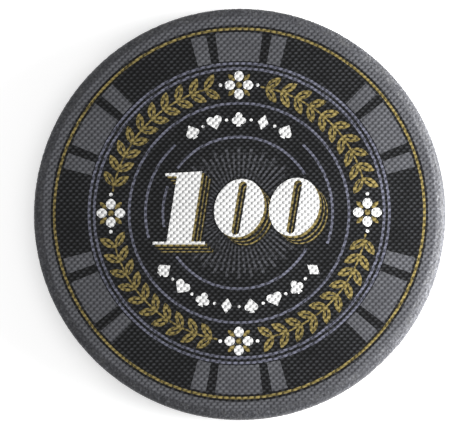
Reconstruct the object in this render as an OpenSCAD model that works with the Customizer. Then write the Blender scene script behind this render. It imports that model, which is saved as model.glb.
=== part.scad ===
// Casino-style ceramic poker chip, face value 100.
// A white moulded blank whose outer skin is dyed in flush colour zones:
// every printed zone is a thin inlay of its own that ends level with the face.
// The chip lies flat: back face on z = 0, front face up, top of the numerals to +Y.

/* [Chip] */
// Outside diameter of the chip
chip_d = 39; // [38.6:0.1:42]
// Thickness of the chip
chip_t = 3.3; // [3.1:0.1:4]
// Length of the bevel between the flat face and the rounding, down its slope
bevel_l = 0.5; // [0.45:0.0125:0.55]
// Radius that rounds the bevel into the wall
edge_round = 0.625; // [0.55:0.0125:0.65]
// Depth of the dyed skin
skin = 0.125; // [0.1:0.0125:0.15]

/* [Face zones] */
// Radius where the rim colour starts
rim_r = 17.83; // [17.75:0.01:18]
// Middle radius of the gold ring
gold_r = 17.49; // [17.4:0.01:17.55]
// Width of the gold ring
gold_w = 0.24; // [0.15:0.01:0.3]
// Outer radius of the edge spots
spot_r1 = 17.15; // [17:0.01:17.2]
// Inner radius of the edge spots
spot_r0 = 14.42; // [14.4:0.01:15]
// Number of edge spot groups
spot_groups = 6; // [3:1:8]
// Angle of the wide bar in a spot group
spot_wide = 15; // [8:1:16]
// Angle of the narrow bars in a spot group
spot_thin = 5; // [3:1:6]
// Angle of the gap between bars in a spot group
spot_gap = 3; // [2:1:4]

/* [Ring lines] */
// Width of the ring lines
line_w = 0.25; // [0.15:0.01:0.28]
// Radius of the outer line of the double ring
ring_d1 = 14.19; // [14.1:0.01:14.22]
// Radius of the inner line of the double ring
ring_d0 = 13.70; // [13.65:0.01:13.75]
// Radius of the line inside the wreath
ring_c = 10.39; // [10.2:0.01:10.4]
// Radius of the short side arcs
ring_b = 8.84; // [8.7:0.01:9]
// Radius of the broken inner ring
ring_a = 7.19; // [7.1:0.01:7.3]

/* [Wreath] */
// Radius of the wreath's stem
wreath_r = 12.12; // [12:0.01:12.2]
// Leaf pairs in each quarter
leaf_pairs = 10; // [6:1:10]
// Angle between leaf pairs
leaf_step = 6.91; // [6.6:0.01:6.95]
// Length of a leaf
leaf_l = 1.72; // [1.4:0.01:1.75]
// Width of a leaf
leaf_w = 0.76; // [0.6:0.01:0.8]
// Width of the stem
stem_w = 0.17; // [0.12:0.01:0.2]
// Half size of the rosettes
rosette_h = 1.36; // [1:0.01:1.38]

/* [Sunburst] */
// Number of rays, long and short in turn
rays = 64; // [48:2:72]
// Radius where the long rays end
ray_long = 6.2; // [5.8:0.05:6.4]
// Radius where the short rays end
ray_short = 5.72; // [5.4:0.02:5.8]
// Angle of one ray
ray_a = 2.6; // [2:0.1:2.8]

/* [Numerals] */
// How far the shade lines reach to the right
shade_x = 0.78; // [0.7:0.005:0.85]
// How far the shade lines reach down
shade_y = 0.75; // [0.65:0.005:0.85]
// Dark border kept clear around the numerals
clear = 0.19; // [0.14:0.01:0.22]

/* [Pips] */
// Height of the card-suit pips
pip_h = 1.34; // [1:0.02:1.4]
// Radius of the pip rows
pip_r = 8.86; // [8.7:0.01:9]
// Angle between pips
pip_step = 15; // [13:0.5:15]

/* [Edge print] */
// Height of the dark band on the wall
band_h = 1.5; // [1.3:0.02:1.54]
// Height of the thin lines on the band
band_line = 0.09; // [0.06:0.01:0.12]
// Height of the numerals on the wall
edge_num_h = 1.45; // [1.1:0.05:1.45]
// How many times the numerals repeat round the wall
edge_repeat = 4; // [2:1:6]

/* [Hidden] */
$fn = 96;

R = chip_d / 2;
T = chip_t;
mid = T / 2;
// the edge in section, upper half: a bevel, then a rounding that runs into the wall;
// the bevel falls by 44 in 117, a slope of 20.6 degrees with an exact sine and cosine
bevel_n = [0.352, 0.936];
edge_drop = bevel_l * bevel_n[0] + edge_round * bevel_n[1];
arc_c = [R - edge_round, T - edge_drop];
bevel_q = arc_c + edge_round * bevel_n;
bevel_p = [bevel_q[0] - bevel_l * bevel_n[1], T];
in_q = arc_c + (edge_round - skin) * bevel_n;
in_p = bevel_p - skin * [(1 - bevel_n[1]) / bevel_n[0], 1];
leaf_first = 15.5;
leaf_turn = 45;
leaf_R = (leaf_l * leaf_l + leaf_w * leaf_w) / (4 * leaf_w);
vein_l = 0.88;
vein_w = 0.15;
vein_R = (vein_l * vein_l + vein_w * vein_w) / (4 * vein_w);
// height of the big numerals, foot to flag
num_h = 6.93;
num_mid = 0.485;
zero_at = [[0.03, 0.44], [5.23, 0.53]];
zero_a = 2.37;
zero_b = 2.76;
zero_lean = 0.10;
slit_w = 0.38;
// where each shade line starts and ends, as parts of the full reach
shade_cuts = [[0, 0.26], [0.5, 0.63], [0.87, 1]];
edge_k = edge_num_h / num_h;
edge_shade = 0.12;

white = [0.96, 0.96, 0.95];
black = [0.13, 0.13, 0.135];
charcoal = [0.30, 0.30, 0.32];
gold = [0.62, 0.52, 0.25];
slate = [0.46, 0.47, 0.55];
ash = [0.34, 0.34, 0.36];

// ---------- flat building blocks ----------

function pol(r, a) = [r * cos(a), r * sin(a)];

module ring(r, w) {
    difference() {
        circle(r = r + w / 2);
        circle(r = r - w / 2);
    }
}

// a wedge from a0 to a1 that reaches past radius r
module wedge(r, a0, a1) {
    n = 4;
    d = (a1 - a0) / n;
    polygon(concat([[0, 0]], [for (i = [0 : n]) pol(1.3 * r / cos(d / 2), a0 + i * d)]));
}

module arc(r, w, a0, a1) {
    intersection() {
        ring(r, w);
        wedge(r, a0, a1);
    }
}

// pointed oval from the origin along +X
module pointed(l, rad) {
    translate([l / 2, 0]) intersection() {
        translate([0, rad - (rad - sqrt(rad * rad - l * l / 4))]) circle(r = rad);
        translate([0, -rad + (rad - sqrt(rad * rad - l * l / 4))]) circle(r = rad);
    }
}

module leaf() {
    difference() {
        pointed(leaf_l, leaf_R);
        translate([0.3, 0]) pointed(vein_l, vein_R);
    }
}

// ---------- numerals ----------

// the outline of the 1, drawn at scale k about the chip's centre
module one(k) {
    polygon(k * [[-8.16, -2.98], [-3.21, -2.98], [-3.21, -2.72], [-4.51, -2.72],
        [-3.47, 3.95], [-6.99, 3.74], [-6.93, 3.49], [-5.87, 3.47],
        [-6.84, -2.72], [-8.16, -2.72]]);
}

// a leaning oval, grown by g
module oval(k, x, y, g, n) {
    polygon([for (i = [0 : n - 1]) let (t = 360 * i / n)
        [k * (x + (zero_a + g) * cos(t) + zero_lean * (zero_b + g) * sin(t)),
         k * (y + (zero_b + g) * sin(t))]]);
}

// the narrow leaning slot inside a zero
module slit(k, x, y, n) {
    lean = 9.6;
    polygon(concat(
        [for (i = [0 : n]) let (t = -lean + 180 * i / n)
            k * [x + 0.36 + slit_w * cos(t), y + 2.145 + slit_w * sin(t)]],
        [for (i = [0 : n]) let (t = 180 - lean + 180 * i / n)
            k * [x - 0.36 + slit_w * cos(t), y - 2.145 + slit_w * sin(t)]]));
}

module zero(k, x, y, n) {
    difference() {
        oval(k, x, y, 0, n);
        slit(k, x, y, n / 6);
    }
}

module number(k, n) {
    one(k);
    for (p = zero_at) zero(k, p[0], p[1], n);
}

// everything that the numerals, their shade and their dark border cover
module number_clear(g) {
    for (s = [0, 0.5, 1]) translate(s * [shade_x, -shade_y]) {
        for (p = zero_at) oval(1, p[0], p[1], g, 60);
        polygon([[-8.16 - g, -2.98 - g], [-3.21 + g, -2.98 - g], [-3.21 + g, -2.72 + g], [-8.16 - g, -2.72 + g]]);
        polygon([[-6.87 - g, -2.9], [-4.54 + g, -2.9], [-3.47 + g, 3.95 + g], [-5.81 - g, 3.85 + g]]);
        polygon([[-6.99 - g, 3.47 - g], [-5.5, 3.45 - g], [-5.5, 3.83 + g], [-6.99 - g, 3.74 + g]]);
    }
}

module shade_line(c) {
    difference() {
        translate(c[1] * [shade_x, -shade_y]) number(1, 60);
        translate(c[0] * [shade_x, -shade_y]) number(1, 60);
        number(1, 60);
    }
}

// ---------- card-suit pips, centred, height h ----------

module heart(h) {
    for (s = [-1, 1]) translate([s * 0.26 * h, 0.17 * h]) circle(r = 0.285 * h);
    polygon(h * [[0, -0.5], [0.459, -0.026], [0.26, 0.17], [-0.26, 0.17], [-0.459, -0.026]]);
}

module diamond(h) {
    polygon(h * [[0, 0.54], [0.39, 0], [0, -0.54], [-0.39, 0]]);
}

module spade(h) {
    for (s = [-1, 1]) translate([s * 0.235 * h, -0.1 * h]) circle(r = 0.245 * h);
    polygon(h * [[0, 0.52], [-0.40, 0.06], [-0.235, -0.1], [0.235, -0.1], [0.40, 0.06]]);
    polygon(h * [[0, 0.1], [-0.19, -0.5], [0.19, -0.5]]);
}

module club(h) {
    translate([0, 0.26 * h]) circle(r = 0.235 * h);
    for (s = [-1, 1]) translate([s * 0.265 * h, -0.09 * h]) circle(r = 0.235 * h);
    polygon(h * [[0, 0.26], [-0.265, -0.09], [0.265, -0.09]]);
    polygon(h * [[0, 0.2], [-0.19, -0.5], [0.19, -0.5]]);
}

module suit(i, h) {
    j = i % 4;
    if (j == 0) spade(h);
    if (j == 1) heart(h);
    if (j == 2) club(h);
    if (j == 3) diamond(h);
}

// a row of n pips about angle a; up = 1 has their tops outward, -1 inward
module pip_row(n, a, up) {
    for (i = [0 : n - 1]) rotate(a - up * (i - (n - 1) / 2) * pip_step)
        translate([pip_r, 0]) rotate(-90 * up) suit(i, pip_h);
    for (i = [0 : n - 2]) rotate(a - up * (i - (n - 2) / 2) * pip_step)
        translate([pip_r, 0]) circle(r = 0.15);
}

// ---------- printed zones of one face, as flat shapes ----------

module gold_ring_2d() { ring(gold_r, gold_w); }

module edge_spots_2d() {
    difference() {
        intersection() {
            circle(r = spot_r1);
            for (i = [0 : spot_groups - 1]) {
                a = 90 + i * 360 / spot_groups;
                h = spot_wide / 2;
                wedge(spot_r1, a - h, a + h);
                wedge(spot_r1, a + h + spot_gap, a + h + spot_gap + spot_thin);
                wedge(spot_r1, a - h - spot_gap - spot_thin, a - h - spot_gap);
            }
        }
        circle(r = spot_r0);
    }
}

module ring_lines_2d() {
    ring(ring_d1, line_w);
    ring(ring_d0, line_w);
    ring(ring_c, line_w);
    arc(ring_b, line_w, -19.5, 47);
    arc(ring_b, line_w, 133, 195.5);
    arc(ring_a, line_w, 30, 144);
    arc(ring_a, line_w, 159.5, 190.5);
    arc(ring_a, line_w, 215, 332);
}

module wreath_2d() {
    for (q = [0 : 3]) rotate(90 * q) {
        last = leaf_first + (leaf_pairs - 1) * leaf_step;
        arc(wreath_r, stem_w, leaf_first - 0.3, last + 2.6);
        for (i = [0 : leaf_pairs - 1]) rotate(leaf_first + i * leaf_step)
            translate([wreath_r, 0]) for (s = [-1, 1])
                rotate(-90 + s * leaf_turn) translate([-0.02, 0]) leaf();
    }
}

module rosette_frame() {
    for (q = [0 : 3]) rotate(90 * q) translate([wreath_r, 0]) rotate(-90) children();
}

module rosettes_2d() {
    l = rosette_h - 0.36;
    rosette_frame() {
        for (a = [0 : 90 : 270]) rotate(a) translate([0.36, 0])
            pointed(l, (l * l + 0.81) / 3.6);
        for (s = [-1, 1]) translate([s * 1.76, 0]) circle(r = 0.17);
    }
}

module rosette_sepals_2d() {
    rosette_frame() {
        circle(r = 0.27);
        for (a = [45 : 90 : 315]) rotate(a) translate([0.56, 0])
            pointed(0.9, (0.81 + 0.16) / 1.6);
    }
}

module sunburst_2d() {
    difference() {
        for (i = [0 : rays - 1]) {
            a = 90 + i * 360 / rays;
            r1 = i % 2 == 0 ? ray_long : ray_short;
            polygon([pol(2.2, a - ray_a / 2), pol(r1, a - ray_a / 2), pol(r1, a + ray_a / 2), pol(2.2, a + ray_a / 2)]);
        }
        number_clear(clear);
    }
}

module suit_pips_2d() {
    pip_row(5, 90, 1);
    pip_row(8, 270, -1);
}

module numerals_2d() { number(1, 60); }

module numeral_shade_2d() {
    for (c = shade_cuts) shade_line(c);
}

// the dark ground: the whole printed disc less every other zone
module field_2d() {
    difference() {
        circle(r = rim_r);
        gold_ring_2d();
        edge_spots_2d();
        ring_lines_2d();
        wreath_2d();
        rosettes_2d();
        rosette_sepals_2d();
        sunburst_2d();
        suit_pips_2d();
        numerals_2d();
        numeral_shade_2d();
    }
}

// ---------- placing the zones ----------

module front() { translate([0, 0, T - skin]) linear_extrude(height = skin) children(); }

module back() { rotate([0, 180, 0]) translate([0, 0, -skin]) linear_extrude(height = skin) children(); }

// points of the section on the front half (s = 1) or the back half (s = -1), always anticlockwise
function half(list, s) = s > 0 ? list
    : [for (i = [len(list) - 1 : -1 : 0]) [list[i][0], T - list[i][1]]];

// the sector of the section where the edge is round
module edge_sector(s) {
    polygon(half([arc_c, arc_c + [2, 0], arc_c + [2, 2], arc_c + 2 * bevel_n], s));
}

// one thin layer of the bevelled edge, upper half, from the band to the face
module rim_layer() {
    rotate_extrude() {
        polygon([[rim_r, T - skin], in_p, bevel_p, [rim_r, T]]);
        polygon([in_p, in_q, bevel_q, bevel_p]);
        intersection() {
            translate(arc_c) difference() {
                circle(r = edge_round);
                circle(r = edge_round - skin);
            }
            edge_sector(1);
        }
        translate([R - skin, mid + band_h / 2]) square([skin, T - edge_drop - mid - band_h / 2]);
    }
}

// the numerals as prisms that stand through the wall
module wall_prisms(shift) {
    for (i = [0 : edge_repeat - 1]) rotate([0, 0, i * 360 / edge_repeat + 45])
        translate([shift, -(R - 0.8), mid - num_mid * edge_k + (edge_shade - 0.02) / 2 - shift * 0.9])
            rotate([90, 0, 0]) linear_extrude(height = 1.6) children();
}

module wall_shell(z0, z1) {
    translate([0, 0, z0]) difference() {
        cylinder(r = R, h = z1 - z0);
        translate([0, 0, -1]) cylinder(r = R - skin, h = z1 - z0 + 2);
    }
}

module band_lines() {
    for (s = [-1, 1]) wall_shell(mid + s * band_h / 6 - band_line / 2, mid + s * band_h / 6 + band_line / 2);
}

// all that the numerals and their shade take out of the wall's other colours
module wall_number_cut() {
    wall_prisms(0) number(edge_k, 36);
    difference() {
        wall_prisms(edge_shade) number(edge_k, 36);
        wall_prisms(0) number(edge_k, 36);
    }
}

// ---------- the pieces ----------

module blank() {
    color(white) rotate_extrude() for (s = [1, -1]) {
        polygon(half([[0, mid], [arc_c[0], mid], arc_c, in_q, in_p, [0, T - skin]], s));
        polygon(half([[arc_c[0], mid], [R - skin, mid], [R - skin, arc_c[1]], arc_c], s));
        intersection() {
            translate(half([arc_c], s)[0]) circle(r = edge_round - skin);
            edge_sector(s);
        }
    }
}

module front_rim() {
    color(charcoal) difference() {
        rim_layer();
        wall_number_cut();
    }
}

module back_rim() {
    color(charcoal) difference() {
        translate([0, 0, T]) rotate([0, 180, 0]) rim_layer();
        wall_number_cut();
    }
}

module front_field() { color(black) front() field_2d(); }
module front_edge_spots() { color(charcoal) front() edge_spots_2d(); }
module front_gold_ring() { color(gold) front() gold_ring_2d(); }
module front_ring_lines() { color(slate) front() ring_lines_2d(); }
module front_wreath() { color(gold) front() wreath_2d(); }
module front_rosettes() { color(white) front() rosettes_2d(); }
module front_rosette_sepals() { color(gold) front() rosette_sepals_2d(); }
module front_sunburst() { color(ash) front() sunburst_2d(); }
module front_suit_pips() { color(white) front() suit_pips_2d(); }
module front_numerals() { color(white) front() numerals_2d(); }
module front_numeral_shade() { color(gold) front() numeral_shade_2d(); }

module back_field() { color(black) back() field_2d(); }
module back_edge_spots() { color(charcoal) back() edge_spots_2d(); }
module back_gold_ring() { color(gold) back() gold_ring_2d(); }
module back_ring_lines() { color(slate) back() ring_lines_2d(); }
module back_wreath() { color(gold) back() wreath_2d(); }
module back_rosettes() { color(white) back() rosettes_2d(); }
module back_rosette_sepals() { color(gold) back() rosette_sepals_2d(); }
module back_sunburst() { color(ash) back() sunburst_2d(); }
module back_suit_pips() { color(white) back() suit_pips_2d(); }
module back_numerals() { color(white) back() numerals_2d(); }
module back_numeral_shade() { color(gold) back() numeral_shade_2d(); }

module edge_band() {
    color(black) difference() {
        wall_shell(mid - band_h / 2, mid + band_h / 2);
        band_lines();
        wall_number_cut();
    }
}

module edge_lines() {
    color(slate) difference() {
        band_lines();
        wall_number_cut();
    }
}

module edge_numerals() {
    color(white) intersection() {
        wall_shell(0.1, T - 0.1);
        wall_prisms(0) number(edge_k, 36);
    }
}

module edge_numeral_shade() {
    color(gold) intersection() {
        wall_shell(0.1, T - 0.1);
        difference() {
            wall_prisms(edge_shade) number(edge_k, 36);
            wall_prisms(0) number(edge_k, 36);
        }
    }
}

blank();
front_rim();
back_rim();
front_field();
front_edge_spots();
front_gold_ring();
front_ring_lines();
front_wreath();
front_rosettes();
front_rosette_sepals();
front_sunburst();
front_suit_pips();
front_numerals();
front_numeral_shade();
back_field();
back_edge_spots();
back_gold_ring();
back_ring_lines();
back_wreath();
back_rosettes();
back_rosette_sepals();
back_sunburst();
back_suit_pips();
back_numerals();
back_numeral_shade();
edge_band();
edge_lines();
edge_numerals();
edge_numeral_shade();
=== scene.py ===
import math

import bpy
import numpy as np
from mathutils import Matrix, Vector, noise
from mathutils.geometry import delaunay_2d_cdt
from mathutils.kdtree import KDTree


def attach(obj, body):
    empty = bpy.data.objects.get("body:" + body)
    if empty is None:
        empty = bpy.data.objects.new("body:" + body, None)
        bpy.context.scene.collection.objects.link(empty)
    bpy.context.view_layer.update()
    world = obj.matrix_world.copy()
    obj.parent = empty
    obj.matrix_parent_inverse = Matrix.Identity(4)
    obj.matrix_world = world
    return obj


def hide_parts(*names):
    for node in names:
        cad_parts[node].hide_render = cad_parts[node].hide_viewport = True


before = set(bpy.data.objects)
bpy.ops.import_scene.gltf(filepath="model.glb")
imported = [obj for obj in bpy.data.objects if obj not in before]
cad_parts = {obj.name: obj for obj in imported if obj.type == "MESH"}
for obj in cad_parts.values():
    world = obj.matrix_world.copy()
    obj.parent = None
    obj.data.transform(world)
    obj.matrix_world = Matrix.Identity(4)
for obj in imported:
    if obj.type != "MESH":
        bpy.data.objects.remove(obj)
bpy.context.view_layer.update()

MM = 0.001

# ---------------------------------------------------------------- sizes, in mm, as in the part's source

R, T, SKIN = 19.5, 3.3, 0.125
MID = T / 2
BEVEL, BEVEL_A, ROUND = 0.5, math.atan2(0.352, 0.936), 0.625
DROP = BEVEL * math.sin(BEVEL_A) + ROUND * math.cos(BEVEL_A)
EDGE_W = BEVEL * math.cos(BEVEL_A) + ROUND * (1 - math.sin(BEVEL_A))
RIM = 17.83
GOLD_R, GOLD_W = 17.49, 0.24
SPOT0, SPOT1 = 14.42, 17.15
LINE_W = 0.25
RINGS = (14.19, 13.70, 10.39)
ARCS = ((8.84, -19.5, 47.0), (8.84, 133.0, 195.5), (7.19, 30.0, 144.0), (7.19, 159.5, 190.5), (7.19, 215.0, 332.0))
WREATH = 12.12
LEAF_FIRST, LEAF_STEP, LEAF_PAIRS, LEAF_TURN = 15.5, 6.91, 10, 45.0
LEAF_L, LEAF_W, VEIN_L, VEIN_W, STEM_W = 1.72, 0.76, 0.88, 0.15, 0.17
RAYS, RAY_LONG, RAY_SHORT, RAY_IN, RAY_A = 64, 6.2, 5.72, 2.2, 2.6
SHADE = (0.78, -0.75)
SHADE_CUTS = ((0.0, 0.26), (0.5, 0.63), (0.87, 1.0))
CLEAR = 0.19
PIP_H, PIP_R, PIP_STEP = 1.34, 8.86, 15.0
ONE = np.array([[-8.16, -2.98], [-3.21, -2.98], [-3.21, -2.72], [-4.51, -2.72], [-3.47, 3.95],
                [-6.99, 3.74], [-6.93, 3.49], [-5.87, 3.47], [-6.84, -2.72], [-8.16, -2.72]])
ZEROS = ((0.03, 0.44), (5.23, 0.53))
ZERO_A, ZERO_B, LEAN, SLIT = 2.37, 2.76, 0.10, 0.38
SLIT_X, SLIT_Y = 0.36, 2.145
BAND_H, BAND_LINE = 1.5, 0.09
EDGE_K = 1.45 / 6.93
EDGE_SHADE = 0.12
EDGE_Z = MID - 0.485 * EDGE_K + (EDGE_SHADE - 0.02) / 2

# linen relief: crowns in running bond, pressed into both faces
PITCH = 0.2952
WEAVE_TURN = math.radians(0.9)
CROWN_LEAN = 0.28
WEAVE_D = 0.066
GRAIN_D = 0.046
COLUMNS = 1600


def oval_rad(l, w):
    return (l * l + w * w) / (4 * w)


LEAF_RAD, VEIN_RAD = oval_rad(LEAF_L, LEAF_W), oval_rad(VEIN_L, VEIN_W)
PETAL_L, PETAL_RAD = 1.0, oval_rad(1.0, 0.9)
SEPAL_L, SEPAL_RAD = 0.9, oval_rad(0.9, 0.4)

# ---------------------------------------------------------------- outlines


def arc(r, a0, a1, cx=0.0, cy=0.0, step=0.1):
    n = max(3, int(math.ceil(abs(math.radians(a1 - a0)) * r / step)))
    t = np.radians(np.linspace(a0, a1, n + 1))
    return np.stack((cx + r * np.cos(t), cy + r * np.sin(t)), 1)


def chain(pts, closed=True, step=0.1):
    pts = np.asarray(pts, float)
    if closed:
        pts = np.vstack((pts, pts[:1]))
    out = [pts[:1]]
    for a, b in zip(pts[:-1], pts[1:]):
        n = max(1, int(math.ceil(np.hypot(*(b - a)) / step)))
        out.append(a + (b - a) * (np.arange(1, n + 1) / n)[:, None])
    return np.vstack(out)


def turned(pts, deg, dx=0.0, dy=0.0):
    c, s = math.cos(math.radians(deg)), math.sin(math.radians(deg))
    return np.stack((c * pts[:, 0] - s * pts[:, 1] + dx, s * pts[:, 0] + c * pts[:, 1] + dy), 1)


def pointed_lines(l, rad, x0=0.0):
    d = math.sqrt(rad * rad - l * l / 4)
    a = math.degrees(math.asin(l / 2 / rad))
    up = arc(rad, 90 + a, 90 - a, x0 + l / 2, -d, 0.06)
    return [up, up * np.array([1.0, -1.0])]


def in_pointed(x, y, l, rad):
    d = math.sqrt(rad * rad - l * l / 4)
    return (x - l / 2) ** 2 + (np.abs(y) + d) ** 2 < rad * rad


def in_poly(x, y, pts):
    inside = np.zeros(x.shape, bool)
    for (x0, y0), (x1, y1) in zip(pts, np.roll(pts, -1, 0)):
        if y0 == y1:
            continue
        hit = (y0 > y) != (y1 > y)
        inside ^= hit & (x < x0 + (y - y0) * (x1 - x0) / (y1 - y0))
    return inside


# ---------------------------------------------------------------- numerals


def in_oval(x, y, cx, cy, g=0.0):
    return ((x - cx - LEAN * (y - cy)) / (ZERO_A + g)) ** 2 + ((y - cy) / (ZERO_B + g)) ** 2 < 1


def in_slit(x, y, cx, cy):
    ax, ay, dx, dy = cx - SLIT_X, cy - SLIT_Y, 2 * SLIT_X, 2 * SLIT_Y
    t = np.clip(((x - ax) * dx + (y - ay) * dy) / (dx * dx + dy * dy), 0, 1)
    return (x - ax - t * dx) ** 2 + (y - ay - t * dy) ** 2 < SLIT * SLIT


def in_number(x, y):
    got = in_poly(x, y, ONE)
    for cx, cy in ZEROS:
        got |= in_oval(x, y, cx, cy) & ~in_slit(x, y, cx, cy)
    return got


def oval_line(cx, cy, g=0.0, step=0.1):
    n = int(2 * math.pi * (ZERO_B + g) / step)
    t = np.linspace(0, 2 * math.pi, n + 1)
    return np.stack((cx + (ZERO_A + g) * np.cos(t) + LEAN * (ZERO_B + g) * np.sin(t), cy + (ZERO_B + g) * np.sin(t)), 1)


def number_lines(step=0.1):
    lines = [chain(ONE, True, step)]
    lean = math.degrees(math.atan2(SLIT_X, SLIT_Y))
    for cx, cy in ZEROS:
        lines.append(oval_line(cx, cy, 0.0, step))
        top = arc(SLIT, -lean, 180 - lean, cx + SLIT_X, cy + SLIT_Y, step)
        low = arc(SLIT, 180 - lean, 360 - lean, cx - SLIT_X, cy - SLIT_Y, step)
        lines += [top, low, chain((top[-1], low[0]), False, step), chain((low[-1], top[0]), False, step)]
    return lines


def clear_polys(g):
    return [np.array(p) for p in (
        [[-8.16 - g, -2.98 - g], [-3.21 + g, -2.98 - g], [-3.21 + g, -2.72 + g], [-8.16 - g, -2.72 + g]],
        [[-6.87 - g, -2.9], [-4.54 + g, -2.9], [-3.47 + g, 3.95 + g], [-5.81 - g, 3.85 + g]],
        [[-6.99 - g, 3.47 - g], [-5.5, 3.45 - g], [-5.5, 3.83 + g], [-6.99 - g, 3.74 + g]])]


def in_clear(x, y):
    got = np.zeros(x.shape, bool)
    for s in (0.0, 0.5, 1.0):
        xs, ys = x - s * SHADE[0], y - s * SHADE[1]
        for cx, cy in ZEROS:
            got |= in_oval(xs, ys, cx, cy, CLEAR)
        for p in clear_polys(CLEAR):
            got |= in_poly(xs, ys, p)
    return got


# ---------------------------------------------------------------- card-suit pips

PIP_BALLS = {
    0: ((-0.235, -0.1, 0.245), (0.235, -0.1, 0.245)),
    1: ((-0.26, 0.17, 0.285), (0.26, 0.17, 0.285)),
    2: ((0.0, 0.26, 0.235), (-0.265, -0.09, 0.235), (0.265, -0.09, 0.235)),
    3: ()}
PIP_POLYS = {
    0: ([[0, 0.52], [-0.40, 0.06], [-0.235, -0.1], [0.235, -0.1], [0.40, 0.06]], [[0, 0.1], [-0.19, -0.5], [0.19, -0.5]]),
    1: ([[0, -0.5], [0.459, -0.026], [0.26, 0.17], [-0.26, 0.17], [-0.459, -0.026]],),
    2: ([[0, 0.26], [-0.265, -0.09], [0.265, -0.09]], [[0, 0.2], [-0.19, -0.5], [0.19, -0.5]]),
    3: ([[0, 0.54], [0.39, 0], [0, -0.54], [-0.39, 0]],)}
PIPS, PIP_DOTS = [], []
for count, mid_a, up in ((5, 90.0, 1), (8, 270.0, -1)):
    PIPS += [(mid_a - up * (i - (count - 1) / 2) * PIP_STEP, i % 4, up) for i in range(count)]
    PIP_DOTS += [mid_a - up * (i - (count - 2) / 2) * PIP_STEP for i in range(count - 1)]


def in_pips(x, y):
    got = np.zeros(x.shape, bool)
    r, a = np.hypot(x, y), np.arctan2(y, x)
    for at, kind, up in PIPS:
        d = a - math.radians(at)
        px, py = r * np.cos(d) - PIP_R, r * np.sin(d)
        gx, gy = -up * py / PIP_H, up * px / PIP_H
        for bx, by, br in PIP_BALLS[kind]:
            got |= (gx - bx) ** 2 + (gy - by) ** 2 < br * br
        for p in PIP_POLYS[kind]:
            got |= in_poly(gx, gy, np.array(p, float))
    for at in PIP_DOTS:
        d = a - math.radians(at)
        got |= (r * np.cos(d) - PIP_R) ** 2 + (r * np.sin(d)) ** 2 < 0.15 ** 2
    return got


# ---------------------------------------------------------------- colour zones of a face

FACE = ("field", "edge_spots", "gold_ring", "ring_lines", "wreath", "rosettes", "rosette_sepals",
        "sunburst", "suit_pips", "numerals", "numeral_shade")


def within(a, a0, a1):
    return np.mod(a - a0, 360.0) < a1 - a0


def face_zone(x, y):
    r = np.hypot(x, y)
    a = np.degrees(np.arctan2(y, x))
    z = np.zeros(x.shape, np.int8)
    z[np.abs(r - GOLD_R) < GOLD_W / 2] = 2
    d = np.abs(np.mod(a - 60.0, 60.0) - 30.0)
    z[(r > SPOT0) & (r < SPOT1) & ((d < 7.5) | ((d > 10.5) & (d < 15.5)))] = 1
    for ring in RINGS:
        z[np.abs(r - ring) < LINE_W / 2] = 3
    for ring, a0, a1 in ARCS:
        z[(np.abs(r - ring) < LINE_W / 2) & within(a, a0, a1)] = 3

    m = np.nonzero((r > 10.0) & (r < 14.1))[0]
    rm = r[m]
    am = np.mod(a[m], 90.0)
    got = (np.abs(rm - WREATH) < STEM_W / 2) & (am > LEAF_FIRST - 0.3) & (am < LEAF_FIRST + (LEAF_PAIRS - 1) * LEAF_STEP + 2.6)
    for i in range(LEAF_PAIRS):
        t = np.radians(am - LEAF_FIRST - i * LEAF_STEP)
        px, py = rm * np.cos(t) - WREATH, rm * np.sin(t)
        for s in (-1, 1):
            b = math.radians(90 - s * LEAF_TURN)
            lx, ly = px * math.cos(b) - py * math.sin(b) + 0.02, px * math.sin(b) + py * math.cos(b)
            got |= in_pointed(lx, ly, LEAF_L, LEAF_RAD) & ~in_pointed(lx - 0.3, ly, VEIN_L, VEIN_RAD)
    z[m[got]] = 4
    t = np.radians(np.mod(a[m] + 45.0, 90.0) - 45.0)
    gx, gy = -rm * np.sin(t), rm * np.cos(t) - WREATH
    white = ((np.abs(gx) - 1.76) ** 2 + gy ** 2) < 0.17 ** 2
    gold = gx * gx + gy * gy < 0.27 ** 2
    for px, py in ((gx, gy), (gy, -gx), (-gx, -gy), (-gy, gx)):
        white |= in_pointed(px - 0.36, py, PETAL_L, PETAL_RAD)
        qx, qy = (px + py) * math.sqrt(0.5), (py - px) * math.sqrt(0.5)
        gold |= in_pointed(qx - 0.56, qy, SEPAL_L, SEPAL_RAD)
    z[m[white]] = 5
    z[m[gold]] = 6

    m = np.nonzero((r > 7.9) & (r < 9.8))[0]
    z[m[in_pips(x[m], y[m])]] = 8

    m = np.nonzero(r < 10.0)[0]
    xm, ym, rm = x[m], y[m], r[m]
    step = 360.0 / RAYS
    n = np.round((a[m] - 90.0) / step)
    off = np.abs(a[m] - 90.0 - n * step)
    ray = (off < RAY_A / 2) & (rm > RAY_IN) & (rm < np.where(np.mod(n, 2) == 0, RAY_LONG, RAY_SHORT))
    z[m[ray & ~in_clear(xm, ym)]] = 7
    number = in_number(xm, ym)
    for c0, c1 in SHADE_CUTS:
        line = in_number(xm - c1 * SHADE[0], ym - c1 * SHADE[1]) & ~in_number(xm - c0 * SHADE[0], ym - c0 * SHADE[1])
        z[m[line & ~number]] = 10
    z[m[number]] = 9
    return z


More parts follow.
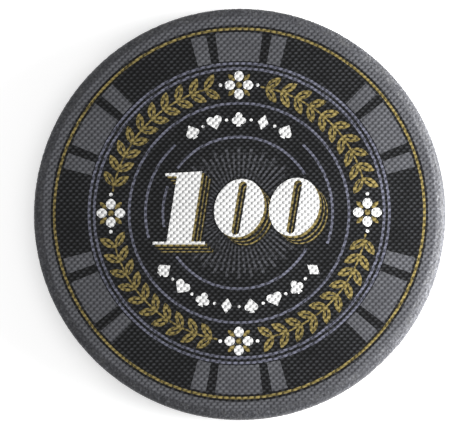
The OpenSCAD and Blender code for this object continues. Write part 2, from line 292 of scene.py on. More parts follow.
def face_lines():
    lines = []
    for r in (GOLD_R - GOLD_W / 2, GOLD_R + GOLD_W / 2, *(q + s * LINE_W / 2 for q in RINGS for s in (-1, 1))):
        lines.append(arc(r, 0, 360))
    for i in range(6):
        for a0, a1 in ((-7.5, 7.5), (10.5, 15.5), (-15.5, -10.5)):
            a0, a1 = 90 + 60 * i + a0, 90 + 60 * i + a1
            low, top = arc(SPOT0, a0, a1), arc(SPOT1, a0, a1)
            lines += [low, top, chain((low[0], top[0]), False), chain((low[-1], top[-1]), False)]
    for r, a0, a1 in ARCS:
        low, top = arc(r - LINE_W / 2, a0, a1), arc(r + LINE_W / 2, a0, a1)
        lines += [low, top, chain((low[0], top[0]), False), chain((low[-1], top[-1]), False)]
    leaf = pointed_lines(LEAF_L, LEAF_RAD, -0.02) + pointed_lines(VEIN_L, VEIN_RAD, 0.28)
    flower = [arc(0.17, 0, 360, s * 1.76, 0, 0.06) for s in (-1, 1)] + [arc(0.27, 0, 360, 0, 0, 0.06)]
    for i in range(4):
        flower += [turned(p, 90 * i) for p in pointed_lines(PETAL_L, PETAL_RAD, 0.36)]
        flower += [turned(p, 90 * i + 45) for p in pointed_lines(SEPAL_L, SEPAL_RAD, 0.56)]
    for q in range(4):
        a0, a1 = 90 * q + LEAF_FIRST - 0.3, 90 * q + LEAF_FIRST + (LEAF_PAIRS - 1) * LEAF_STEP + 2.6
        low, top = arc(WREATH - STEM_W / 2, a0, a1), arc(WREATH + STEM_W / 2, a0, a1)
        lines += [low, top, chain((low[0], top[0]), False), chain((low[-1], top[-1]), False)]
        for i in range(LEAF_PAIRS):
            for s in (-1, 1):
                lines += [turned(turned(p, -90 + s * LEAF_TURN, WREATH), 90 * q + LEAF_FIRST + i * LEAF_STEP) for p in leaf]
        lines += [turned(turned(p, -90, WREATH), 90 * q) for p in flower]
    for at, kind, up in PIPS:
        glyph = [arc(br * PIP_H, 0, 360, bx * PIP_H, by * PIP_H, 0.06) for bx, by, br in PIP_BALLS[kind]]
        glyph += [chain(np.array(p, float) * PIP_H, True, 0.06) for p in PIP_POLYS[kind]]
        lines += [turned(turned(p, -90 * up, PIP_R), at) for p in glyph]
    for at in PIP_DOTS:
        lines.append(turned(arc(0.15, 0, 360, PIP_R, 0, 0.06), at))
    for i in range(RAYS):
        a = math.radians(90 + i * 360 / RAYS)
        h, r1 = math.radians(RAY_A / 2), RAY_LONG if i % 2 == 0 else RAY_SHORT
        lines.append(chain([(q * math.cos(a + s * h), q * math.sin(a + s * h)) for q, s in ((RAY_IN, -1), (r1, -1), (r1, 1), (RAY_IN, 1))]))
    for s in (0.0, 0.5, 1.0):
        shift = np.array(SHADE) * s
        lines += [oval_line(cx, cy, CLEAR) + shift for cx, cy in ZEROS] + [chain(p) + shift for p in clear_polys(CLEAR)]
    for c in sorted({q for pair in SHADE_CUTS for q in pair}):
        lines += [p + np.array(SHADE) * c for p in number_lines()]
    return lines


# ---------------------------------------------------------------- relief


def chance(i, j, k):
    v = np.sin(i * 12.9898 + j * 78.233 + k * 37.719) * 43758.5453
    return v - np.floor(v)


def weave(x, y):
    """Linen relief, 0 in its pits to 1 on its crowns."""
    c, s = math.cos(WEAVE_TURN), math.sin(WEAVE_TURN)
    u, v = (x * c + y * s) / PITCH, (y * c - x * s) / PITCH
    j = np.round(v)
    best = np.zeros(x.shape)
    for k in (-1, 0, 1):
        row = j + k
        odd = np.mod(row, 2)
        i = np.round((u - odd) / 2)
        du, dv = u - odd - 2 * i, v - row
        dome = np.sqrt(np.maximum(0, 1 - ((du - CROWN_LEAN * dv) / 0.99) ** 2 - (dv / 0.60) ** 2))
        best = np.maximum(best, dome * (0.9 + 0.1 * chance(i, row, 1)))
    odd = np.mod(j + 1, 2)
    du = u - odd - 2 * np.round((u - odd) / 2)
    pit = np.exp(-(du / 0.25) ** 2 - ((v - j) / 0.36) ** 2)
    return np.clip(0.22 + 0.78 * best - 0.22 * pit, 0, 1)


def smooth(a, b, v):
    t = np.clip((v - a) / (b - a), 0, 1)
    return t * t * (3 - 2 * t)


# ---------------------------------------------------------------- the unrolled edge: t round the chip, s across it

FLAT, BEND, WALL = R - EDGE_W - RIM, (math.pi / 2 - BEVEL_A) * ROUND, T - 2 * DROP
S_WALL = FLAT + BEVEL + BEND
S_ALL = 2 * S_WALL + WALL
T_ALL = 2 * math.pi * R
STRIP = ("front_rim", "edge_band", "edge_lines", "edge_numerals", "edge_numeral_shade", "back_rim")


def strip_z(s):
    return T - DROP - (s - S_WALL)


def strip_place(t, s):
    """Point and outward normal on the smooth edge."""
    a = t / R
    f = np.minimum(s, S_ALL - s)
    down = np.clip(f - FLAT, 0, BEVEL)
    bend = np.clip(BEVEL_A + (f - FLAT - BEVEL) / ROUND, BEVEL_A, math.pi / 2)
    rad = np.minimum(f, FLAT) + RIM + down * math.cos(BEVEL_A) + ROUND * (np.sin(bend) - math.sin(BEVEL_A))
    high = T - down * math.sin(BEVEL_A) - ROUND * (math.cos(BEVEL_A) - np.cos(bend)) - np.maximum(f - S_WALL, 0)
    tilt = np.where(bend > BEVEL_A, bend, BEVEL_A * smooth(FLAT - 0.06, FLAT + 0.06, f))
    back = s > S_ALL / 2
    z = np.where(back, T - high, high)
    nr, nz = np.sin(tilt), np.cos(tilt) * np.where(back, -1, 1)
    p = np.stack((rad * np.cos(a), rad * np.sin(a), z), 1)
    return p, np.stack((nr * np.cos(a), nr * np.sin(a), nz), 1)


def strip_zone(t, s):
    z = strip_z(s)
    k = np.where(s < S_ALL / 2, 0, 5).astype(np.int8)
    k[np.abs(z - MID) < BAND_H / 2] = 1
    k[np.abs(np.abs(z - MID) - BAND_H / 6) < BAND_LINE / 2] = 2
    m = np.nonzero(np.abs(z - MID) < WALL / 2)[0]
    d = np.mod(t[m] / R, math.pi / 2) - math.pi / 4
    x, y = R * np.sin(d) / EDGE_K, (z[m] - EDGE_Z) / EDGE_K
    shade = in_number(x - EDGE_SHADE / EDGE_K, y + 0.9 * EDGE_SHADE / EDGE_K)
    k[m[shade]] = 4
    k[m[in_number(x, y)]] = 3
    return k


def strip_lines():
    lines = []
    cols = np.arange(COLUMNS + 1) * (T_ALL / COLUMNS)
    levels = [MID + q for q in (BAND_H / 2, -BAND_H / 2)] + [MID + i * BAND_H / 6 + j * BAND_LINE / 2 for i in (-1, 1) for j in (-1, 1)]
    for s in [0.0, S_ALL] + [S_WALL + T - DROP - z for z in levels]:
        lines.append(np.stack((cols, np.full(cols.shape, s)), 1))
    for dx in (0.0, EDGE_SHADE):
        for p in number_lines(0.27):
            x, z = p[:, 0] * EDGE_K + dx, p[:, 1] * EDGE_K + EDGE_Z - 0.9 * dx
            s = S_WALL + T - DROP - z
            for i in range(4):
                lines.append(np.stack((R * (np.arcsin(x / R) + math.pi / 4 + i * math.pi / 2), s), 1))
    return lines


def grain(p):
    """Fine irregular pebbling, 0 to 1."""
    out = np.empty(len(p))
    for i, (x, y, z) in enumerate(p.tolist()):
        out[i] = 0.5 * noise.noise(Vector((x * 5.3, y * 5.3, z * 5.3))) + 0.5 * noise.noise(Vector((x * 9.7 + 9, y * 9.7, z * 9.7)))
    return np.clip(0.5 + 2.1 * out, 0, 1)


# ---------------------------------------------------------------- meshing


def wanted(lines, zone):
    """Only the stretches of the outlines that part two zones."""
    a = np.vstack([p[:-1] for p in lines])
    b = np.vstack([p[1:] for p in lines])
    d = b - a
    n = np.stack((-d[:, 1], d[:, 0]), 1) / np.maximum(np.hypot(d[:, 0], d[:, 1]), 1e-12)[:, None] * 0.003
    keep = np.zeros(len(a), bool)
    for f in (0.03, 0.27, 0.5, 0.73, 0.97):
        m = a + f * d
        keep |= zone(m[:, 0] + n[:, 0], m[:, 1] + n[:, 1]) != zone(m[:, 0] - n[:, 0], m[:, 1] - n[:, 1])
    return a[keep], b[keep]


def weld(a, b, tol=2e-4):
    """Segment ends as shared points."""
    pts = np.vstack((a, b))
    key, index = np.unique(np.round(pts / tol).astype(np.int64), axis=0, return_inverse=True)
    index = index.ravel()
    where = np.empty((len(key), 2))
    where[index] = pts
    edges = np.stack((index[:len(a)], index[len(a):]), 1)
    edges = np.sort(edges[edges[:, 0] != edges[:, 1]], 1)
    return where, np.unique(edges, axis=0)


def far_from(grid, pts, gap):
    tree = KDTree(len(pts))
    for i, (x, y) in enumerate(pts.tolist()):
        tree.insert((x, y, 0), i)
    tree.balance()
    return grid[[tree.find((x, y, 0))[2] > gap for x, y in grid.tolist()]]


def triangulate(pts, edges):
    v, _, f, ov, _, _ = delaunay_2d_cdt([Vector(p) for p in pts.tolist()], [tuple(e) for e in edges.tolist()], [], 0, 1e-7)
    return np.array([tuple(p) for p in v]), np.array(f, np.int64), ov


def unpinch(v, f, kind):
    """Gives the smaller of two corners of one zone that meet in a point to its neighbour."""
    for _ in range(6):
        half = np.vstack((f[:, (0, 1)], f[:, (1, 2)], f[:, (2, 0)]))
        owner = np.tile(np.arange(len(f)), 3)
        key = half[:, 0] * len(v) + half[:, 1]
        order = np.argsort(key)
        spot = np.searchsorted(key[order], half[:, 1] * len(v) + half[:, 0])
        spot = np.minimum(spot, len(key) - 1)
        mate = order[spot]
        paired = key[mate] == half[:, 1] * len(v) + half[:, 0]
        border = ~paired | (kind[owner] != kind[owner[mate]])
        tag = kind[owner[border]].astype(np.int64) * len(v) + half[border, 0]
        names, times = np.unique(tag, return_counts=True)
        todo = names[times > 1]
        if not len(todo):
            break
        for code in todo.tolist():
            k, p = divmod(code, len(v))
            near = np.nonzero((f == p).any(1))[0]
            mine = [i for i in near.tolist() if kind[i] == k]
            fans = []
            for i in mine:
                rim = set(f[i].tolist()) - {p}
                joined = [g for g in fans if g[1] & rim]
                fans = [g for g in fans if not g[1] & rim]
                fans.append(([i] + [j for g in joined for j in g[0]], rim.union(*[g[1] for g in joined])))
            if len(fans) < 2:
                continue
            size = lambda g: float(np.abs(np.cross(v[f[g[0], 1]] - v[f[g[0], 0]], v[f[g[0], 2]] - v[f[g[0], 0]])).sum())
            small = min(fans, key=size)
            others = [int(kind[i]) for i in near.tolist() if kind[i] != k]
            if others:
                kind[small[0]] = max(set(others), key=others.count)
    return kind


def split(pts, edges, grid, coarse, zone):
    """Fine triangles for the surface, few for the underside, each with its zone.

    Returns points, fine triangles, their zones, underside points, triangles, zones, and for each
    underside point the surface point above it (or -1)."""
    v, f, _ = triangulate(np.vstack((pts, grid)), edges)
    mid = v[f].mean(1)
    area = np.cross(v[f[:, 1]] - v[f[:, 0]], v[f[:, 2]] - v[f[:, 0]])
    f = np.where((area < 0)[:, None], f[:, ::-1], f)
    kind = unpinch(v, f, zone(mid[:, 0], mid[:, 1]))
    left = {}
    half = np.vstack((f[:, (0, 1)], f[:, (1, 2)], f[:, (2, 0)]))
    kinds = np.tile(kind, 3)
    key = np.minimum(half[:, 0], half[:, 1]) * len(v) + np.maximum(half[:, 0], half[:, 1])
    order = np.argsort(key, kind="stable")
    ks = key[order]
    twin = np.zeros(len(ks), bool)
    same = ks[1:] == ks[:-1]
    alike = kinds[order][1:] == kinds[order][:-1]
    twin[1:] |= same & alike
    twin[:-1] |= same & alike
    border = order[~twin]
    for i in border.tolist():
        left[(int(half[i, 0]), int(half[i, 1]))] = int(kinds[i])
    used = np.unique(half[border])
    low = -np.ones(len(v), np.int64)
    low[used] = np.arange(len(used))
    rim = np.unique(np.sort(low[half[border]], 1), axis=0)
    v2, f2, ov = triangulate(np.vstack((v[used], coarse)) if len(coarse) else v[used], rim)
    area = np.cross(v2[f2[:, 1]] - v2[f2[:, 0]], v2[f2[:, 2]] - v2[f2[:, 0]])
    f2 = np.where((area < 0)[:, None], f2[:, ::-1], f2)
    above = np.array([next((int(used[i]) for i in o if i < len(used)), -1) for o in ov])
    # zones of the underside, from its borders inwards
    kind2 = -np.ones(len(f2), np.int64)
    owner = {}
    for i, tri in enumerate(f2.tolist()):
        for p, q in zip(tri, tri[1:] + tri[:1]):
            owner[(p, q)] = i
    todo = []
    for i, tri in enumerate(f2.tolist()):
        for p, q in zip(tri, tri[1:] + tri[:1]):
            k = left.get((int(above[p]), int(above[q])), -1) if above[p] >= 0 and above[q] >= 0 else -1
            if k >= 0:
                kind2[i] = k
                todo.append(i)
                break
    while todo:
        i = todo.pop()
        tri = f2[i].tolist()
        for p, q in zip(tri, tri[1:] + tri[:1]):
            if above[p] >= 0 and above[q] >= 0 and (int(above[p]), int(above[q])) in left:
                continue
            j = owner.get((q, p), -1)
            if j >= 0 and kind2[j] < 0:
                kind2[j] = kind2[i]
                todo.append(j)
    return v, f, kind, v2, f2, kind2, above


def make_piece(name, top, tri, rel, wear_and_sheen, flat, bottom, tri2, above, uv_of):
    """One closed piece: relief surface, side walls, underside."""
    use = np.unique(tri)
    new = -np.ones(len(top), np.int64)
    new[use] = np.arange(len(use))
    tri = new[tri]
    use2 = np.unique(tri2)
    new2 = -np.ones(len(bottom), np.int64)
    new2[use2] = np.arange(len(use2)) + len(use)
    tri2 = new2[tri2]
    under = -np.ones(len(top), np.int64)
    has = above[use2]
    under[has[has >= 0]] = use2[has >= 0]
    under_new = np.where(under[use] >= 0, new2[under[use]], -1)
    half = np.vstack((tri[:, (0, 1)], tri[:, (1, 2)], tri[:, (2, 0)]))
    count = len(use)
    fwd = half[:, 0] * count + half[:, 1]
    rev = half[:, 1] * count + half[:, 0]
    edge = half[~np.isin(fwd, rev)]
    a, b = edge[:, 0], edge[:, 1]
    a2, b2 = under_new[a], under_new[b]
    walls = np.vstack((np.stack((b, a, a2), 1), np.stack((b, a2, b2), 1)))
    faces = np.vstack((tri, tri2[:, ::-1], walls))
    co = np.vstack((top[use], bottom[use2])) * MM
    me = bpy.data.meshes.new(name)
    me.vertices.add(len(co))
    me.vertices.foreach_set("co", co.astype(np.float32).ravel())
    me.loops.add(faces.size)
    me.loops.foreach_set("vertex_index", faces.astype(np.int32).ravel())
    me.polygons.add(len(faces))
    me.polygons.foreach_set("loop_start", (np.arange(len(faces)) * 3).astype(np.int32))
    me.update(calc_edges=True)
    ends = np.empty(len(me.edges) * 2, np.int32)
    me.edges.foreach_get("vertices", ends)
    ends = np.sort(ends.reshape(-1, 2), 1).astype(np.int64)
    brim = np.sort(np.vstack((edge, np.stack((a2, b2), 1))), 1)
    sharp = np.isin(ends[:, 0] * len(co) + ends[:, 1], brim[:, 0] * len(co) + brim[:, 1])
    me.edges.foreach_set("use_edge_sharp", sharp)
    for label, values in (("relief", rel), ("wear_and_sheen", wear_and_sheen)):
        att = me.attributes.new(label, "FLOAT", "POINT")
        att.data.foreach_set("value", np.concatenate((values[use], np.full(len(use2), 0.5 if label == "relief" else 0.0))).astype(np.float32))
    uv = np.empty((len(faces), 3, 2))
    uv[:len(tri)] = uv_of(flat[use][tri])
    rest = len(faces) - len(tri)
    uv[len(tri):] = np.array([[0.002, 0.990], [0.006, 0.990], [0.002, 0.994]])[None] + np.linspace(0, 0.98, rest)[:, None, None] * np.array([1.0, 0.0])
    layer = me.uv_layers.new(name="OFBake")
    layer.data.foreach_set("uv", uv.astype(np.float32).ravel())
    ob = bpy.data.objects.new(name, me)
    bpy.context.scene.collection.objects.link(ob)
    return ob


def planar_uv(flat_tri):
    return 0.01 + 0.965 * (flat_tri + RIM) / (2 * RIM)


def strip_uv(s0, s1):
    rows = max(1, int(round(math.sqrt(T_ALL / ((s1 - s0) * 1.1)))))
    width = T_ALL / rows

    def uv(flat_tri):
        row = np.clip(np.floor(flat_tri[:, :, 0].mean(1) / width), 0, rows - 1)[:, None]
        u = 0.02 + 0.96 * (flat_tri[:, :, 0] - row * width) / width
        v = (row + 0.04 + 0.92 * (flat_tri[:, :, 1] - s0) / (s1 - s0)) / rows * 0.98
        return np.stack((u, v), 2)
    return uv


# ---------------------------------------------------------------- materials


class Nodes:
    def __init__(self, name):
        self.mat = bpy.data.materials.new(name)
        self.mat.use_nodes = True
        self.tree = self.mat.node_tree
        self.bsdf = self.tree.nodes["Principled BSDF"]

    def add(self, kind, **props):
        n = self.tree.nodes.new(kind)
        for k, v in props.items():
            setattr(n, k, v)
        return n

    def link(self, a, b):
        self.tree.links.new(a, b)

    def noise(self, at, scale, detail, rough=0.55):
        n = self.add("ShaderNodeTexNoise")
        self.link(at, n.inputs["Vector"])
        n.inputs["Scale"].default_value = scale
        n.inputs["Detail"].default_value = detail
        n.inputs["Roughness"].default_value = rough
        return n.outputs["Fac"]

    def remap(self, v, a0, a1, b0, b1):
        n = self.add("ShaderNodeMapRange")
        self.link(v, n.inputs["Value"])
        for k, x in zip(("From Min", "From Max", "To Min", "To Max"), (a0, a1, b0, b1)):
            n.inputs[k].default_value = x
        return n.outputs["Result"]

    def math(self, op, a, b):
        n = self.add("ShaderNodeMath", operation=op)
        for i, v in enumerate((a, b)):
            if isinstance(v, (int, float)):
                n.inputs[i].default_value = v
            else:
                self.link(v, n.inputs[i])
        return n.outputs[0]

    def mix(self, fac, a, b, blend="MIX"):
        n = self.add("ShaderNodeMix", data_type="RGBA", blend_type=blend)
        for sock, v in ((n.inputs[0], fac), (n.inputs[6], a), (n.inputs[7], b)):
            if isinstance(v, (int, float)):
                sock.default_value = v
            elif isinstance(v, (tuple, list)):
                sock.default_value = (*v, 1.0)
            else:
                self.link(v, sock)
        return n.outputs[2]


def lin(r, g, b):
    return tuple((c / 255 / 12.92) if c <= 10.3 else ((c / 255 + 0.055) / 1.055) ** 2.4 for c in (r, g, b))


def dyed_with_painted_light(name, pit, groove_shade, body, crown_highlight, rubbed_and_sheen, rough=0.42, shine=0.18, mottle=0.08):
    """Dyed resin with painted light: painted shade darkens the pits and grooves of the linen, a painted highlight
    lightens its crowns, and pale patches on the bevel are rubbed wear and painted highlight together.
    """
    m = Nodes(name)
    at = m.add("ShaderNodeTexCoord").outputs["Object"]
    rel = m.add("ShaderNodeAttribute", attribute_name="relief").outputs["Fac"]
    wear_and_sheen = m.add("ShaderNodeAttribute", attribute_name="wear_and_sheen").outputs["Fac"]
    cloud = m.noise(at, 260.0, 4.0)
    fleck = m.noise(at, 9000.0, 2.0, 0.7)
    fine = m.noise(at, 21000.0, 2.0)
    # ramp over the relief height: painted shade in the pits and grooves, painted highlight on the crowns
    ramp = m.add("ShaderNodeValToRGB")
    stops = ramp.color_ramp.elements
    stops.new(0.4)
    stops.new(0.7)
    for i, (at_rel, c) in enumerate(((0.05, pit), (0.45, groove_shade), (0.75, body), (0.97, crown_highlight))):
        stops[i].position, stops[i].color = at_rel, (*c, 1.0)
    m.link(m.math("ADD", rel, m.remap(cloud, 0.25, 0.75, -0.05, 0.05)), ramp.inputs["Fac"])
    # pale patches where the bevel turns: rubbed wear and painted highlight together
    scuff_and_sheen = m.math("MULTIPLY", wear_and_sheen, m.remap(m.noise(at, 1400.0, 5.0, 0.65), 0.46, 0.66, 0.0, 0.55))
    col = m.mix(scuff_and_sheen, ramp.outputs["Color"], rubbed_and_sheen)
    tone = m.math("ADD", m.remap(cloud, 0.25, 0.75, 1.0 - mottle, 1.0 + mottle), m.remap(fleck, 0.25, 0.75, -0.14, 0.14))
    # the turned edge takes the dye less evenly than the faces
    flat = m.add("ShaderNodeVectorMath", operation="MULTIPLY")
    flat.inputs[1].default_value = (1, 1, 0)
    m.link(at, flat.inputs[0])
    far = m.add("ShaderNodeVectorMath", operation="LENGTH")
    m.link(flat.outputs["Vector"], far.inputs[0])
    edge = m.remap(far.outputs["Value"], (R - EDGE_W - 0.1) * MM, (R - EDGE_W + 0.15) * MM, 0.0, 1.0)
    tone = m.math("ADD", tone, m.math("MULTIPLY", edge, m.remap(m.noise(at, 5200.0, 2.0, 0.7), 0.3, 0.7, -0.42, 0.42)))
    grey = m.add("ShaderNodeCombineColor")
    for i in range(3):
        m.link(tone, grey.inputs[i])
    m.link(m.mix(1.0, col, grey.outputs[0], "MULTIPLY"), m.bsdf.inputs["Base Color"])
    r = m.math("ADD", m.remap(cloud, 0.2, 0.8, rough - 0.05, rough + 0.07), m.remap(rel, 0.3, 1.0, 0.10, -0.03))
    m.link(m.math("SUBTRACT", r, m.math("MULTIPLY", scuff_and_sheen, 0.10)), m.bsdf.inputs["Roughness"])
    bump = m.add("ShaderNodeBump")
    bump.inputs["Strength"].default_value = 0.35
    bump.inputs["Distance"].default_value = 0.000012
    m.link(fine, bump.inputs["Height"])
    m.link(bump.outputs["Normal"], m.bsdf.inputs["Normal"])
    m.bsdf.inputs["Specular IOR Level"].default_value = shine
    return m.mat


# each row: name, painted shade in the pits, painted shade in the grooves, the print's own colour, painted highlight on
# the crowns, pale bevel patches that are rubbed wear and painted highlight, then roughness, specular level and mottle
# where given
MATS = {
    "bare_white": dyed_with_painted_light("bare_white", lin(124, 124, 125), lin(167, 167, 167), lin(199, 199, 198), lin(219, 219, 218), lin(222, 222, 221), 0.42, 0.25, 0.03),
    "white_resin": dyed_with_painted_light("white_resin", lin(190, 190, 188), lin(220, 220, 218), lin(232, 232, 230), lin(240, 240, 238), lin(240, 240, 238), 0.5, 0.25, 0.03),
    "black_print": dyed_with_painted_light("black_print", lin(5, 5, 6), lin(10, 10, 11), lin(16, 16.5, 17.5), lin(52, 53, 55.5), lin(40, 40, 41), 0.42, 0.12),
    "charcoal_print": dyed_with_painted_light("charcoal_print", lin(50, 50.5, 54), lin(58, 58.5, 62), lin(66, 66.5, 70), lin(90, 91, 95), lin(88, 88, 89)),
    "gold_print": dyed_with_painted_light("gold_print", lin(38, 32, 14), lin(74, 65, 32), lin(105, 92.5, 49), lin(139, 124, 77), lin(128, 115, 79)),
    "slate_print": dyed_with_painted_light("slate_print", lin(34, 35, 41), lin(55, 56, 65), lin(75, 76, 87.5), lin(108, 109.5, 124), lin(106, 107, 116)),
    "ash_print": dyed_with_painted_light("ash_print", lin(23, 23, 25), lin(34, 34.5, 37), lin(50, 50.5, 54), lin(78, 79, 83.5), lin(76, 77, 80)),
}

SLOT = {"field": "black_print", "edge_spots": "charcoal_print", "gold_ring": "gold_print", "ring_lines": "slate_print",
        "wreath": "gold_print", "rosettes": "bare_white", "rosette_sepals": "gold_print", "sunburst": "ash_print",
        "suit_pips": "bare_white", "numerals": "bare_white", "numeral_shade": "gold_print",
        "front_rim": "charcoal_print", "back_rim": "charcoal_print", "edge_band": "black_print",
        "edge_lines": "slate_print", "edge_numerals": "bare_white", "edge_numeral_shade": "gold_print"}


def finish_piece(ob, node, slot):
    ob.data.materials.append(MATS[slot])
    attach(ob, "root")
    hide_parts(node)


# ---------------------------------------------------------------- both faces

ring = arc(RIM, 0, 360, step=2 * math.pi * RIM / COLUMNS * 1.0000001)
seg_a, seg_b = wanted(face_lines(), face_zone)
pts, edges = weld(np.vstack((seg_a, ring[:-1])), np.vstack((seg_b, ring[1:])))
flip = np.array([-1.0, 1.0, -1.0])
c, s = math.cos(WEAVE_TURN), math.sin(WEAVE_TURN)
for side, across, down in (("front", 3, 4), ("back", 3, 2)):
    dx, dy = PITCH / across, PITCH / down
    n, m = int(RIM / dx) + 3, int(RIM / dy) + 3
    gu, gv = (q.ravel() for q in np.meshgrid(np.arange(-n, n + 1) * dx, np.arange(-m, m + 1) * dy))
    grid = np.stack((gu * c - gv * s, gu * s + gv * c), 1)
    grid = grid[np.hypot(grid[:, 0], grid[:, 1]) < RIM - 0.04]
    grid = far_from(grid, pts, 0.05)
    v, f, kind, v2, f2, kind2, above = split(pts, edges, grid, np.zeros((0, 2)), face_zone)
    rel = weave(v[:, 0], v[:, 1])
    still = np.zeros(len(v))
    top = np.column_stack((v, T - WEAVE_D * (1 - rel)))
    bottom = np.column_stack((v2, np.full(len(v2), T - SKIN)))
    if side == "back":
        top, bottom = top * flip + (0, 0, T), bottom * flip + (0, 0, T)
    outer, outer2 = (np.hypot(*q[g].mean(1).T) > RINGS[1] for q, g in ((v, f), (v2, f2)))
    for k, zone_name in enumerate(FACE):
        node = f"{side}_{zone_name}"
        parts = [("", kind == k, kind2 == k)]
        if zone_name == "field":
            parts = [("_outer", (kind == k) & outer, (kind2 == k) & outer2), ("_inner", (kind == k) & ~outer, (kind2 == k) & ~outer2)]
        for label, sel, sel2 in parts:
            ob = make_piece(node + label + "_print", top, f[sel], rel, still, v, bottom, f2[sel2], above, planar_uv)
            finish_piece(ob, node, SLOT[zone_name])

# ---------------------------------------------------------------- rims and wall

seg_a, seg_b = wanted(strip_lines()[2:], strip_zone)
cols = np.arange(COLUMNS + 1) * (T_ALL / COLUMNS)
levels = np.array([S_WALL + T - DROP - MID - q for q in (BAND_H / 2, -BAND_H / 2)]
                  + [S_WALL + T - DROP - MID - i * BAND_H / 6 - j * BAND_LINE / 2 for i in (-1, 1) for j in (-1, 1)])
seam = np.linspace(0, S_ALL, 84)
seam = np.sort(np.concatenate((seam[np.abs(seam[:, None] - levels).min(1) > 0.03], levels)))
seg_a, seg_b = [seg_a], [seg_b]
for s in (0.0, S_ALL):
    row = np.stack((cols, np.full(cols.shape, s)), 1)
    seg_a.append(row[:-1])
    seg_b.append(row[1:])
for t in (0.0, T_ALL):
    col = np.stack((np.full(seam.shape, t), seam), 1)
    seg_a.append(col[:-1])
    seg_b.append(col[1:])
pts, edges = weld(np.vstack(seg_a), np.vstack(seg_b))
ds = S_ALL / 83
rows = np.arange(1, 83) * ds
fine_t = T_ALL / COLUMNS
grid = np.vstack([np.stack((np.arange(1, COLUMNS) * fine_t + (0.5 * fine_t if i % 2 else 0.0), np.full(COLUMNS - 1, r)), 1) for i, r in enumerate(rows)])
grid = grid[grid[:, 0] < T_ALL - 0.04]
grid = far_from(grid, pts, 0.042)
coarse = np.vstack([np.stack((np.arange(1, 240) * (T_ALL / 240), np.full(239, r)), 1) for r in np.linspace(0, S_ALL, 22)[1:-1]])
coarse = far_from(coarse, pts, 0.1)
v, f, kind, v2, f2, kind2, above = split(pts, edges, grid, coarse, strip_zone)
place, out = strip_place(v[:, 0], v[:, 1])
front = v[:, 1] < S_ALL / 2
near = np.minimum(v[:, 1], S_ALL - v[:, 1])
spread = (RIM + near) / np.hypot(place[:, 0], place[:, 1])
lin_rel = weave(np.where(front, place[:, 0], -place[:, 0]) * spread, place[:, 1] * spread)
grain_rel = grain(place)
edge_w = 0.5 * smooth(FLAT - 0.15, FLAT + 0.15, near) + 0.5 * smooth(FLAT + BEVEL - 0.1, FLAT + BEVEL + 0.5, near)
rel = lin_rel * (1 - edge_w) + (0.36 + 0.64 * grain_rel) * edge_w
# band on the bevel for the pale patches, which are rubbed wear and painted highlight together
wear_and_sheen = smooth(FLAT - 0.05, FLAT + 0.2, near) * (1 - smooth(FLAT + BEVEL, FLAT + BEVEL + 0.4, near))
sink = WEAVE_D * (1 - lin_rel) * (1 - edge_w) + GRAIN_D * (1 - grain_rel) * edge_w
top = place - out * sink[:, None]
base, base_out = strip_place(v2[:, 0], v2[:, 1])
bottom = base - base_out * SKIN
# close the strip into a ring: its last column is its first
first = {round(float(s), 5): i for i, (t, s) in enumerate(v) if t < 1e-6}
same = np.arange(len(v))
for i in np.nonzero(v[:, 0] > T_ALL - 1e-6)[0]:
    same[i] = first[round(float(v[i, 1]), 5)]
first2 = {round(float(s), 5): i for i, (t, s) in enumerate(v2) if t < 1e-6}
same2 = np.arange(len(v2))
for i in np.nonzero(v2[:, 0] > T_ALL - 1e-6)[0]:
    same2[i] = first2[round(float(v2[i, 1]), 5)]
above = np.where(above >= 0, same[above], -1)
flat_uv = v.copy()
f, f2 = same[f], same2[f2]
for k, node in enumerate(STRIP):
    span = v[np.unique(f[kind == k]), 1]
    ob = make_piece(node + "_print", top, f[kind == k], rel, wear_and_sheen, flat_uv, bottom, f2[kind2 == k], above, strip_uv(span.min(), span.max()))
    finish_piece(ob, node, SLOT[node])

# the moulded blank stays as built; only its finish is set
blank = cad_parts["blank"]
blank.data.materials.clear()
blank.data.materials.append(MATS["white_resin"])

# ---------------------------------------------------------------- floor, light, camera

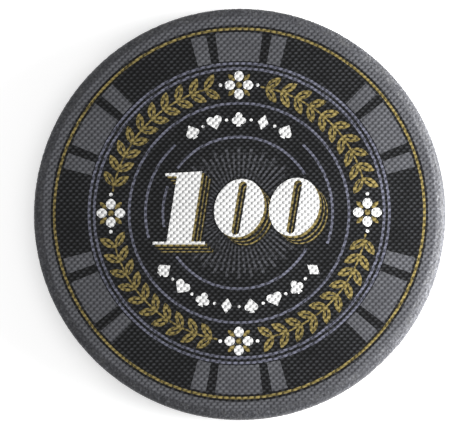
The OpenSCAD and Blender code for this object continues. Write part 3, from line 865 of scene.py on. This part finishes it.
scene = bpy.context.scene
me = bpy.data.meshes.new("floor")
me.from_pydata([(-2, -2, 0), (2, -2, 0), (2, 2, 0), (-2, 2, 0)], [], [(0, 1, 2, 3)])
floor = bpy.data.objects.new("floor", me)
scene.collection.objects.link(floor)
pale = Nodes("floor_white")
at = pale.add("ShaderNodeTexCoord").outputs["Object"]
pale.link(pale.mix(pale.noise(at, 30.0, 3.0), lin(243, 243, 243), lin(247, 247, 247)), pale.bsdf.inputs["Base Color"])
pale.bsdf.inputs["Roughness"].default_value = 0.8
pale.bsdf.inputs["Specular IOR Level"].default_value = 0.1
pale.bsdf.inputs["Emission Color"].default_value = (1, 1, 1, 1)
pale.bsdf.inputs["Emission Strength"].default_value = 0.35
floor.data.materials.append(pale.mat)
floor.location.z = -0.00002

world = bpy.data.worlds.new("studio")
scene.world = world
world.use_nodes = True
world.node_tree.nodes["Background"].inputs[0].default_value = (1, 1, 1, 1)
world.node_tree.nodes["Background"].inputs[1].default_value = 0.36


def lamp(name, at, aim, wide, tall, power):
    data = bpy.data.lights.new(name, "AREA")
    data.shape = "ELLIPSE"
    data.size, data.size_y = wide, tall
    data.energy = power
    ob = bpy.data.objects.new(name, data)
    ob.location = at
    ob.rotation_euler = (Vector(aim) - Vector(at)).to_track_quat("-Z", "Y").to_euler()
    scene.collection.objects.link(ob)
    return ob


lamp("key_right", (0.060, -0.003, 0.0200), (0.0, 0.0, 0.002), 0.084, 0.018, 0.158)
lamp("fill_top", (0.02, 0.0, 0.60), (0.0, 0.0, 0.0), 1.0, 1.0, 2.1)

cam_data = bpy.data.cameras.new("camera")
cam_data.sensor_width = 36.0
cam_data.lens = 300.0
cam_data.shift_x = -13.21 / 453
cam_data.shift_y = -0.43 / 453
cam_data.clip_start = 0.01
cam = bpy.data.objects.new("camera", cam_data)
tilt, turn = math.radians(4.5), math.radians(2.6)
reach = 0.3579
cam.location = (reach * math.sin(turn) * math.cos(tilt), -reach * math.sin(tilt), MID * MM + reach * math.cos(turn) * math.cos(tilt))
cam.rotation_euler = (tilt, turn, 0.0)
scene.collection.objects.link(cam)
scene.camera = cam
scene.view_settings.view_transform = "Standard"
scene.view_settings.look = "None"
